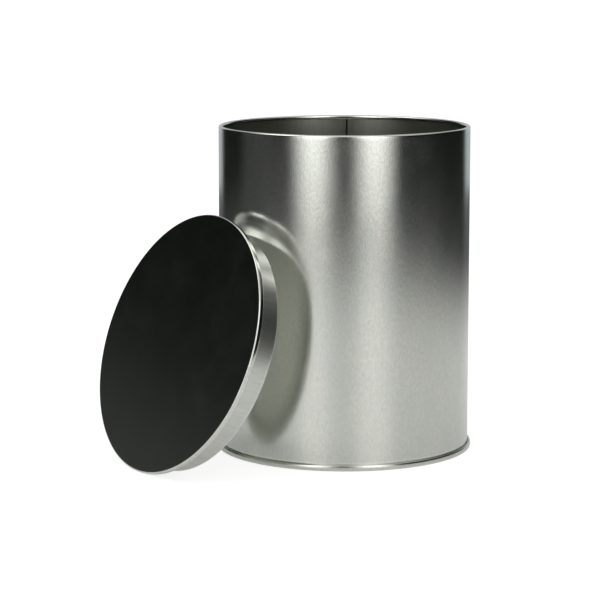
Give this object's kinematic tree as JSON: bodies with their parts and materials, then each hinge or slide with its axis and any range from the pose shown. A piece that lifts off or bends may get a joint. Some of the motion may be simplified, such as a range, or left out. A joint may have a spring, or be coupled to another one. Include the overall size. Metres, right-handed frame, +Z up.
{
  "type": "candle tin",
  "caption": "Round tinplate tin with a rolled rim and a double-seamed base, open, with its flat push-in lid leaning against its side.",
  "frame": {"origin": "on the floor, on the axis of the tin, at the flat underside of its foot seam", "axes": "+Z up along the tin's axis, -Y to the front, side seam of the body at +Y, lid leaning on the side between -X and -Y"},
  "size_m": [0.1466, 0.1375, 0.128],
  "materials": {
    "tinplate_body": "bright fine-grained tinplate with a soft reflection",
    "tinplate_base": "bright fine-grained tinplate, pressed",
    "compound": "dull sealing compound",
    "tinplate_lid": "bright smooth tinplate, drawn"
  },
  "bodies": {
    "tin": {"body_wall": "tinplate_body", "base_end": "tinplate_base", "seam_compound": "compound"},
    "lid": {"lid": "tinplate_lid"}
  },
  "joints": [
    {"name": "lid_away", "type": "slide", "parent": "tin", "child": "lid", "axis": [-0.7431, -0.5702, 0.3502], "range_m": [0, 0.14]}
  ]
}
